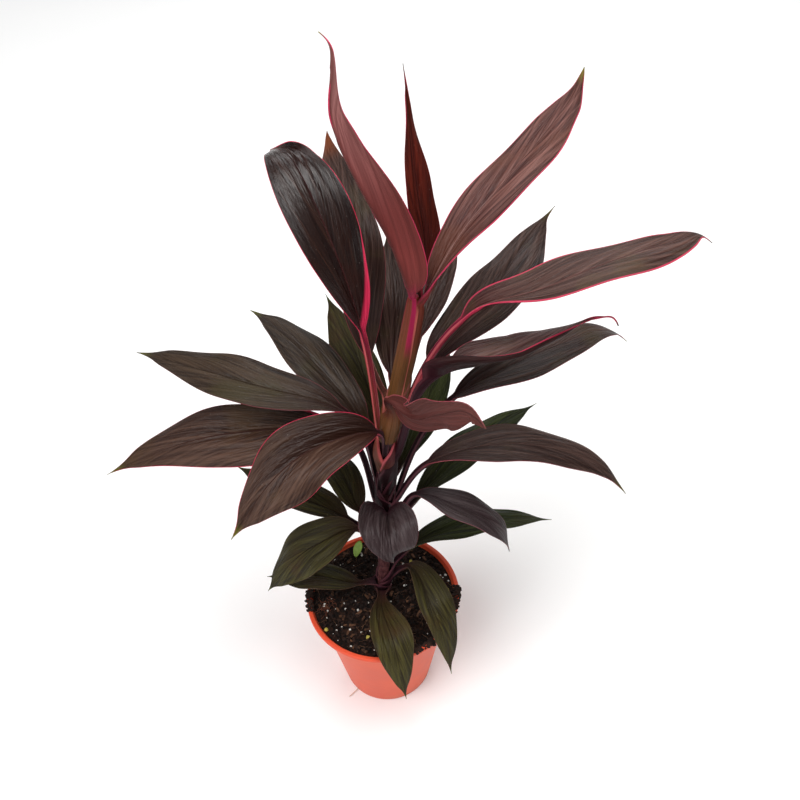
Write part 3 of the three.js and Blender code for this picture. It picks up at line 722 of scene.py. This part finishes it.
def smooth(piece, degrees=35):
    take(piece)
    bpy.ops.object.shade_smooth_by_angle(angle=math.radians(degrees))


def edit_all(piece):
    """Into edit mode with all of the piece selected."""
    take(piece)
    bpy.ops.object.mode_set(mode="EDIT")
    bpy.ops.mesh.select_all(action="SELECT")


def close_shell():
    """Turns all faces outwards and leaves edit mode."""
    bpy.ops.mesh.select_all(action="SELECT")
    bpy.ops.mesh.normals_make_consistent(inside=False)
    bpy.ops.object.mode_set(mode="OBJECT")


def hand_over(piece, replaced=None):
    """Attaches the piece to the root body and hides the model's node that it stands for."""
    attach(piece, "root")
    if replaced:
        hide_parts(replaced)


def mix(a, b, share):
    return a * (1 - share) + b * share


def clamp(value, low=0.0, high=1.0):
    return max(low, min(high, value))


def soft(value, low, high):
    share = clamp((value - low) / (high - low))
    return share * share * (3 - 2 * share)


def keyed(t, keys):
    x = clamp(t) * (len(keys) - 1)
    i = min(int(x), len(keys) - 2)
    return mix(keys[i], keys[i + 1], x - i)


def cane_at(z):
    """Centre and radius of the cane at a height."""
    i = 0
    while i < len(CANE) - 2 and z > CANE[i + 1][0]:
        i += 1
    (z0, x0, r0), (z1, x1, r1) = CANE[i], CANE[i + 1]
    share = (z - z0) / (z1 - z0)
    return Vector((mix(x0, x1, share), 0, z)), mix(r0, r1, clamp(share))


class Midrib:
    """Smooth run through points spaced by their distances, with a set direction at the start."""

    def __init__(self, points, first):
        self.points = points
        steps = [b - a for a, b in zip(points, points[1:])]
        self.span = [step.length for step in steps]
        slope = [step / span for step, span in zip(steps, self.span)]
        self.at = [0.0]
        for span in self.span:
            self.at.append(self.at[-1] + span)
        self.lead = [first]
        for i in range(1, len(slope)):
            before, after = self.span[i - 1], self.span[i]
            self.lead.append((slope[i - 1] * after + slope[i] * before) / (before + after))
        self.lead.append(slope[-1] * 1.5 - self.lead[-1] * 0.5)

    def read(self, s):
        """Place and direction at a distance along the run; below 0 it goes straight on."""
        i = 0
        while i < len(self.span) - 1 and s > self.at[i + 1]:
            i += 1
        h = self.span[i]
        u = clamp((s - self.at[i]) / h)
        a, b = self.points[i], self.points[i + 1]
        m, n = self.lead[i] * h, self.lead[i + 1] * h
        place = (a * (2 * u ** 3 - 3 * u ** 2 + 1) + m * (u ** 3 - 2 * u ** 2 + u)
                 + b * (3 * u ** 2 - 2 * u ** 3) + n * (u ** 3 - u ** 2))
        along = (a * (6 * u ** 2 - 6 * u) + m * (3 * u ** 2 - 4 * u + 1)
                 + b * (6 * u - 6 * u ** 2) + n * (3 * u ** 2 - 2 * u))
        return place, along.normalized()


def grow_leaf(name, spec):
    """One leaf with its stalk and the sheath that clasps the cane. A grid is laid on the leaf's
    form, which no set of edit operators gives, and Solidify gives it its thickness."""
    foot = Vector(spec["run"][0])
    node, _ = cane_at(spec["node"])
    if "az" in spec:
        bearing = math.radians(spec["az"])
    else:
        bearing = math.atan2(foot.y - node.y, foot.x - node.x)
    away = Vector((math.cos(bearing), math.sin(bearing), 0))
    rise = math.radians(spec.get("rise", STALK_RISE))
    first = away * math.cos(rise) + Vector((0, 0, math.sin(rise)))
    rib = Midrib([node + away * STALK_START] + [Vector(p) for p in spec["run"]], first)
    blade_start, end = rib.at[1], rib.at[-1]
    length = end - blade_start
    sheath = spec.get("sheath", clamp((spec["node"] - 100) * SHEATH_SHARE, *SHEATH_LENGTHS))
    clasp = spec.get("clasp", (CLASP, CLASP))
    up = Vector(spec.get("up", (0, 0, 1)))
    shapes = spec.get("shape", SHAPE)
    if not isinstance(shapes[0], tuple):
        shapes = (shapes, shapes)
    shares = spec.get("sides", (1, 1))
    drawn, drawn_from, drawn_to = spec.get("drawn", DRAWN)
    folds = spec.get("fold", FOLD)
    seed = spec["node"] * 0.37

    def outline(half, t):
        """Half width of the blade on its left (0) or right (1) side, t from foot to tip."""
        rising, falling = shapes[half]
        widest = rising / (rising + falling)
        full = (t / widest) ** rising * ((1 - t) / (1 - widest)) ** falling
        full *= 1 - drawn * soft(t, drawn_from, drawn_to)
        return max(spec["width"] / 2 * full * shares[half], STALK_HALF * (1 - t) ** 1.5, TIP_HALF)

    def across(u, t, folded):
        """Sideways and upward reach of a point across the blade, as shares of the half width."""
        curl = 0.0
        for side_name, begin, finish, degrees in spec.get("curl", ()):
            if (side_name == "left") == (u < 0):
                middle = (begin + finish) / 2
                grown = soft(t, begin, middle)
                if finish < 1:
                    grown *= 1 - soft(t, middle, finish)
                curl += math.radians(degrees) * grown
        if not curl:
            return abs(u) * math.cos(folded), abs(u) * math.sin(folded)
        out = lift = 0.0
        steps = LEAF_COLUMNS // 2
        for k in range(round(abs(u) * steps)):
            angle = folded + curl * soft((k + 0.5) / steps, CURL_START, 1)
            out += math.cos(angle) / steps
            lift += math.sin(angle) / steps
        return out, lift

    def form(u, s):
        t = clamp((s - blade_start) / length)
        place, along = rib.read(max(s, 0))
        side = along.cross(up).normalized()
        face = side.cross(along)
        half = outline(0 if u < 0 else 1, t)
        folded = math.radians(mix(STALK_FOLD, keyed(t, folds), soft(s, blade_start - 12,
                                                                    blade_start + 8)))
        out, lift = across(u, t, folded)
        wave = spec.get("wave", WAVE) * clamp(t * 5) * clamp((1 - t) * 4)
        shift = WAVE_SHIFT if u < 0 else 0
        lift = half * (lift - DROOP_OF_EDGES * u * u)
        lift += wave * u * u * math.sin(2 * math.pi * WAVES_ALONG * t + shift)
        lean = (t + math.log(VEIN_REACH - abs(u)) / VEIN_LEAN) * length
        ripple = RIPPLE * math.sin(2 * math.pi * lean / RIPPLE_LENGTH + seed)
        groove = math.exp(-((half * u) / GROOVE_HALF) ** 2) * clamp(t * 10) * (1 - t)
        groove *= GROOVE_DEPTH
        point = place + side * math.copysign(half * out, u) - along * (
            spec.get("lobe", (0, 0))[0 if u < 0 else 1] * u * u * clamp(1 - t / 0.35))
        point = point + face * (lift + ripple * clamp(half / 8 - 0.4) * (1 - u ** 4) - groove
                                + BLADE_THICKNESS / 2)
        hold = soft(s, *LETS_GO)
        if hold < 1:
            grip = math.radians(keyed((s + sheath) / (sheath + 12), clasp[0 if u < 0 else 1]))
            centre, radius = cane_at(node.z + s * (1 if s < 0 else math.sin(rise)))
            turn = bearing - u * grip
            reach = radius + mix(*SHEATH_GAPS, soft(s, -sheath, 4))
            wrapped = centre + Vector((math.cos(turn), math.sin(turn), 0)) * reach
            point = wrapped * (1 - hold) + point * hold
        thick = mix(1 - 0.65 * u * u, math.exp(-((half * u) / RIB_HALF) ** 2) * (1 - t) ** 1.3,
                    soft(s, blade_start - 6, blade_start + 10))
        thick *= mix(0.25, 1, soft(s, -sheath, -sheath * 0.3))
        return point * MM, (half * u, s - blade_start, half * (1 - abs(u))), thick

    rows = int((end + sheath) / ROW_LENGTH)
    bpy.ops.mesh.primitive_grid_add(x_subdivisions=LEAF_COLUMNS, y_subdivisions=rows, size=1)
    piece = new_piece(name + "_blade")
    mesh = piece.data
    points, notes, runs, thickness = [], [], [], []
    for vertex in mesh.vertices:
        u = clamp(vertex.co.x * 2, -1, 1)
        s = (vertex.co.y + 0.5) * (end + sheath) - sheath
        point, note, thick = form(u, s)
        points.extend(point)
        notes.extend(note)
        runs.append((0.5 + u / 2, (s - blade_start) / length))
        thickness.append(thick)
    mesh.vertices.foreach_set("co", points)
    group = piece.vertex_groups.new(name="rib")
    for i, thick in enumerate(thickness):
        group.add([i], thick, "REPLACE")
    mesh.attributes.new("form", "FLOAT_VECTOR", "POINT").data.foreach_set("vector", notes)
    layer = mesh.uv_layers["UVMap"]
    for loop in mesh.loops:
        layer.data[loop.index].uv = runs[loop.vertex_index]
    size = (blade_start, sheath, length, seed)
    dress(piece, leaf_finish(name + "_upper", spec, size),
          under_finish(name + "_under", spec, size))
    apply(piece, "SOLIDIFY", thickness=STALK_THICKNESS * MM, offset=-1, use_even_offset=False,
          vertex_group="rib", thickness_vertex_group=BLADE_THICKNESS / STALK_THICKNESS,
          material_offset=1, material_offset_rim=0)
    smooth(piece, 50)
    hand_over(piece, name)


def select_faces(piece, wanted):
    """In edit mode: selects the faces whose centre and normal are wanted."""
    bpy.ops.object.mode_set(mode="OBJECT")
    for part in (piece.data.vertices, piece.data.edges):
        for element in part:
            element.select = False
    for face in piece.data.polygons:
        face.select = wanted(face.center, face.normal)
    bpy.ops.object.mode_set(mode="EDIT")


def turn_body(name, sides, outline):
    """A closed round body: a disc extruded from ring to ring, given as (radius, height)."""
    release()
    radius, height = outline[0]
    bpy.ops.mesh.primitive_circle_add(vertices=sides, radius=radius * MM,
                                      location=(0, 0, height * MM), fill_type="NGON")
    piece = new_piece(name)
    settle(piece)
    edit_all(piece)
    for (r0, z0), (r1, z1) in zip(outline, outline[1:]):
        bpy.ops.mesh.extrude_region_move(
            TRANSFORM_OT_translate={"value": (0, 0, (z1 - z0) * MM)})
        bpy.ops.transform.resize(value=(r1 / r0, r1 / r0, 1), center_override=(0, 0, z1 * MM))
    close_shell()
    return piece


def make_pot():
    lip_inner = POT_RIM_RADIUS - LIP_WIDTH
    piece = turn_body("pot_shell", POT_SIDES, [
        (POT_SOLE_RADIUS, POT_SOLE_RISE), (POT_SOLE_RADIUS + 1, 0),
        (POT_FOOT_RADIUS - POT_FOOT_EDGE, 0), (POT_FOOT_RADIUS, POT_FOOT_EDGE),
        (POT_NECK_RADIUS, FLARE_FOOT), (FLARE_TOP_RADIUS, LIP_FOOT),
        (POT_RIM_RADIUS, LIP_FOOT), (POT_RIM_RADIUS, POT_HEIGHT), (lip_inner, POT_HEIGHT),
        (lip_inner, LIP_FOOT + WALL), (POT_NECK_RADIUS - WALL, FLARE_FOOT + WALL / 2),
        (POT_FOOT_RADIUS - 1.1, POT_FLOOR),
    ])
    apply(piece, "BEVEL", width=POT_ROUNDING * MM, segments=3, limit_method="ANGLE",
          angle_limit=math.radians(28))
    dress(piece, pot_finish())
    smooth(piece, 40)
    hand_over(piece, "pot")


def ground(x, y):
    """Height of the peat at a place, in millimetres: a low crown, lumps and crumbs. Past the
    peat's edge it is the top of the pot's lip, and past the lip it drops away."""
    r = math.hypot(x, y)
    if r > PEAT_RADIUS + 0.8:
        return POT_HEIGHT - SPILL_FALL * max(0, r - POT_RIM_RADIUS)
    height = mix(PEAT_CROWN_HEIGHT, PEAT_EDGE_HEIGHT, soft(r, *PEAT_CROWN_SLOPE))
    for across, tall in PEAT_LUMPS:
        height += noise.noise(Vector((x, y, 0)) / across) * tall
    for heap_x, heap_y, tall, spread in PEAT_HEAPS:
        height += tall * math.exp(-((x - heap_x) ** 2 + (y - heap_y) ** 2) / spread)
    return height


def make_peat(finish):
    piece = turn_body("peat_bed", PEAT_SIDES, PEAT_OUTLINE)
    bpy.ops.object.mode_set(mode="EDIT")
    select_faces(piece, lambda centre, normal: normal.z > 0.9)
    bpy.ops.mesh.poke()
    bpy.ops.mesh.subdivide(number_cuts=PEAT_CUTS)
    bpy.ops.object.mode_set(mode="OBJECT")
    top = (PEAT_EDGE_HEIGHT - 0.05) * MM
    for vertex in piece.data.vertices:
        if vertex.co.z > top:
            r = math.hypot(vertex.co.x, vertex.co.y) / MM
            inner = 1 - soft(r, PEAT_RADIUS - PEAT_RIM, PEAT_RADIUS)
            height = ground(vertex.co.x / MM, vertex.co.y / MM)
            vertex.co.z = mix(PEAT_EDGE_HEIGHT, height, inner) * MM
    dress(piece, finish)
    smooth(piece, 60)
    hand_over(piece, "peat")


def rough_lump(name, size, stretch, faces=1):
    """A pebble-like bit, knocked out of round."""
    release()
    bpy.ops.mesh.primitive_ico_sphere_add(subdivisions=faces, radius=size * MM)
    piece = new_piece(name)
    for vertex in piece.data.vertices:
        knock = 1 + 0.45 * noise.noise(vertex.co / MM / size * 1.3 + Vector((size, 7, 3)))
        vertex.co *= knock
        vertex.co.x *= stretch[0]
        vertex.co.y *= stretch[1]
        vertex.co.z *= stretch[2]
    return piece


def bark_chip(name):
    """A splinter of bark: a thin slab, subdivided once and jostled out of true."""
    release()
    bpy.ops.mesh.primitive_cube_add(size=MM)
    piece = new_piece(name)
    piece.scale = BARK_SIZE
    settle(piece)
    edit_all(piece)
    bpy.ops.mesh.subdivide(number_cuts=1)
    bpy.ops.object.mode_set(mode="OBJECT")
    for vertex in piece.data.vertices:
        vertex.co += noise.noise_vector(vertex.co / MM * 0.6) * 0.5 * MM
    return piece


def fibre(name, length, bend, radius=0.16):
    """A bent hair of coir: a five-sided ring extruded along its bend."""
    release()
    bpy.ops.mesh.primitive_circle_add(vertices=5, radius=radius * MM, fill_type="NGON",
                                      rotation=(0, math.pi / 2, 0))
    piece = new_piece(name)
    settle(piece)
    edit_all(piece)
    for i in range(FIBRE_STEPS):
        turn = bend * math.sin(2.2 * i + bend)
        bpy.ops.mesh.extrude_region_move(TRANSFORM_OT_translate={
            "value": (length / FIBRE_STEPS * MM, turn * MM, 0.35 * math.cos(1.7 * i) * MM)})
    close_shell()
    return piece


def strew(name, models, count, sizes, finish, sink=0.3, spots=()):
    """Copies the models over the peat, each copy turned, sized and half sunk at random."""
    copies = []
    for k in range(count):
        model = models[k % len(models)]
        if k < len(spots):
            x, y = spots[k]
        else:
            r = STREW_REACH * math.sqrt(chance.uniform(0.012, 1))
            turn = chance.uniform(0, 2 * math.pi)
            x, y = r * math.cos(turn), r * math.sin(turn)
        size = chance.uniform(*sizes)
        spin = Euler([chance.uniform(-0.5, 0.5), chance.uniform(-0.5, 0.5),
                      chance.uniform(0, 6.28)]).to_matrix().to_4x4()
        mesh = model.data.copy()
        mesh.transform(Matrix.Translation((x * MM, y * MM, (ground(x, y) + sink) * MM))
                       @ spin @ Matrix.Scale(size, 4))
        copy = bpy.data.objects.new(name, mesh)
        bpy.context.collection.objects.link(copy)
        copies.append(copy)
    for model in models:
        bpy.data.objects.remove(model)
    take(*copies)
    bpy.ops.object.join()
    piece = new_piece(name)
    dress(piece, finish)
    smooth(piece, 40)
    hand_over(piece)


def along_rim(arcs):
    """Places drawn on the lip of the pot, each arc given as (from, to, count) in degrees."""
    places = []
    for low, high, count in arcs:
        for _ in range(count):
            turn, r = math.radians(chance.uniform(low, high)), chance.uniform(*SPILL_REACH)
            places.append((r * math.cos(turn), r * math.sin(turn)))
    return places


def around(x, y, reach, count):
    """Places drawn around a spot on the peat."""
    return [(x + chance.gauss(0, reach), y + chance.gauss(0, reach)) for _ in range(count)]


def make_scrap(finish):
    """A fresh scrap of leaf lying on the peat: a plane cut up, drawn to a point and bent."""
    release()
    bpy.ops.mesh.primitive_grid_add(x_subdivisions=6, y_subdivisions=14, size=1)
    piece = new_piece("leaf_scrap")
    x0, y0, long, wide = SCRAP
    lean = math.radians(SCRAP_TURN)
    for vertex in piece.data.vertices:
        across, along = vertex.co.x * 2, vertex.co.y + 0.5
        half = wide / 2 * math.sin(math.pi * along) ** 0.6
        u, v = across * half, (along - 0.5) * long
        x = x0 + u * math.cos(lean) - v * math.sin(lean)
        y = y0 + u * math.sin(lean) + v * math.cos(lean)
        lift = 1.6 + 0.5 * across * across + 0.9 * math.sin(3 * along)
        vertex.co = Vector((x, y, mix(PEAT_CROWN_HEIGHT, PEAT_EDGE_HEIGHT, 0.5) + lift)) * MM
    apply(piece, "SOLIDIFY", thickness=0.4 * MM, offset=0)
    dress(piece, finish)
    smooth(piece, 50)
    hand_over(piece)


def make_root(finish):
    """A pale root that has found its way out at the foot of the pot."""
    piece = fibre("stray_root", 10.5, 0.35, 0.35)
    piece.location = Vector(ROOT) * MM
    piece.rotation_euler = (0, 0, math.radians(ROOT_TURN))
    settle(piece)
    dress(piece, finish)
    smooth(piece, 60)
    hand_over(piece)


def make_cane():
    """The cane: a disc extruded upwards, drawn in at each ring where a leaf sat."""
    release()
    bottom = CANE[0][0]
    centre, radius = cane_at(bottom)
    bpy.ops.mesh.primitive_circle_add(vertices=CANE_SIDES, radius=radius * MM, location=centre * MM,
                                      fill_type="NGON")
    piece = new_piece("cane_stem")
    settle(piece)
    edit_all(piece)
    rings = [(bottom + 30, 1.0)]
    z = RINGS_START
    while z < RINGS_END:
        rings += [(z + above, share) for above, share in RING]
        z += RING_SPACING + chance.uniform(-1, 1.5)
    rings += [(z, 0.98) for z, _, _ in CANE if z > RINGS_END + 8][:-1] + [(390, 0.9), (392, 0.6)]
    for z, share in rings:
        next_centre, next_radius = cane_at(z)
        wanted = next_radius * share
        bpy.ops.mesh.extrude_region_move(
            TRANSFORM_OT_translate={"value": (next_centre - centre) * MM})
        bpy.ops.transform.resize(value=(wanted / radius,) * 2 + (1,),
                                 center_override=next_centre * MM)
        centre, radius = next_centre, wanted
    close_shell()
    apply(piece, "SUBSURF", levels=1, render_levels=1)
    dress(piece, cane_finish())
    smooth(piece, 60)
    hand_over(piece, "cane")


# The plant

for leaf_name, leaf_spec in LEAVES.items():
    release()
    grow_leaf(leaf_name, leaf_spec)
make_cane()
make_pot()
make_peat(peat_finish())
bits = {name: bit_finish(name, *row) for name, row in BITS.items()}
strew("peat_crumbs", [rough_lump("crumb_a", 1, (1, 0.8, 0.7)),
                      rough_lump("crumb_b", 1.2, (1.3, 0.7, 0.8))],
      900, (0.5, 1.7), bits["peat_crumb"])
strew("bark_bits", [bark_chip("chip_a")], 70, (0.5, 1.2), bits["bark"], sink=0.5)
strew("coir_hairs", [fibre("hair_a", 9, 0.5), fibre("hair_b", 13, -0.8),
                     fibre("hair_c", 6, 0.3)], 80, (0.5, 1.0), bits["coir"], sink=0.8)
strew("perlite_bits", [rough_lump("perlite_a", 0.8, (1, 0.85, 0.8), 2)],
      95, (0.4, 1.4), bits["perlite"], sink=0.6)
strew("feed_beads", [rough_lump("bead_a", 1.3, (1, 1, 1), 2)],
      len(FEED_SPOTS), (0.9, 1.2), bits["plant_feed"], sink=0.9, spots=FEED_SPOTS)
spills = along_rim(SPILLS)
strew("spilled_peat", [rough_lump("spill_a", 1, (1, 0.8, 0.7)),
                       rough_lump("spill_b", 1.3, (1.3, 0.8, 0.7))],
      len(spills), (0.6, 1.6), bits["peat_crumb"], spots=spills)
clump = around(*CLUMP, CLUMP_SPREAD, CLUMP_HAIRS)
strew("fibre_clump", [fibre("hair_d", 7, 0.9), fibre("hair_e", 5, -0.7)],
      CLUMP_HAIRS, (0.6, 1.2), bits["rust_fibre"], sink=1.3, spots=clump)
make_root(bits["root"])
make_scrap(bits["fresh_scrap"])

# Floor, camera and light

release()
bpy.ops.mesh.primitive_plane_add(size=FLOOR_SIZE, location=(0, 0, 0))
floor = new_piece("studio_floor")
floor_finish = Finish("studio_floor", Roughness=0.9, Specular_IOR_Level=0.1,
                      Emission_Color=(1, 1, 1, 1), Emission_Strength=FLOOR_GLOW)
floor_tone = floor_finish.grain(floor_finish.place(), 3, 2)
floor_finish.wear(Base_Color=floor_finish.blend(floor_tone, (0.91, 0.91, 0.91),
                                                (0.94, 0.94, 0.94)))
dress(floor, floor_finish.material)

camera_data = bpy.data.cameras.new("camera")
camera_data.lens = CAMERA_LENS
camera_data.sensor_width = CAMERA_SENSOR
camera_data.clip_start = 0.01
camera = bpy.data.objects.new("camera", camera_data)
bpy.context.scene.collection.objects.link(camera)
camera.location = CAMERA_PLACE
forward = Vector((0, math.cos(CAMERA_DOWN), -math.sin(CAMERA_DOWN)))
level = Vector((1, 0, 0))
upright = level.cross(forward)
right_way = level * math.cos(CAMERA_ROLL) + upright * math.sin(CAMERA_ROLL)
up_way = upright * math.cos(CAMERA_ROLL) - level * math.sin(CAMERA_ROLL)
camera.rotation_euler = Matrix((right_way, up_way, -forward)).transposed().to_euler()
bpy.context.scene.camera = camera


def lamp(name, place, aim, size, power, tint):
    data = bpy.data.lights.new(name, "AREA")
    data.shape, data.size, data.energy, data.color = "DISK", size, power, tint
    light = bpy.data.objects.new(name, data)
    bpy.context.scene.collection.objects.link(light)
    light.location = place
    light.rotation_euler = (Vector(aim) - Vector(place)).to_track_quat("-Z", "Y").to_euler()


for row in LAMPS:
    lamp(*row)
sun_data = bpy.data.lights.new("side_light", "SUN")
sun_data.energy, sun_data.angle = SUN_POWER, SUN_SPREAD
sun = bpy.data.objects.new("side_light", sun_data)
bpy.context.scene.collection.objects.link(sun)
sun.rotation_euler = Vector(SUN_FROM).to_track_quat("Z", "Y").to_euler()

world = bpy.data.worlds.new("studio")
bpy.context.scene.world = world
world.use_nodes = True
room = world.node_tree.nodes["Background"].inputs
room["Color"].default_value = (1, 1, 1, 1)
room["Strength"].default_value = ROOM_LIGHT
bpy.context.scene.view_settings.view_transform = "Standard"
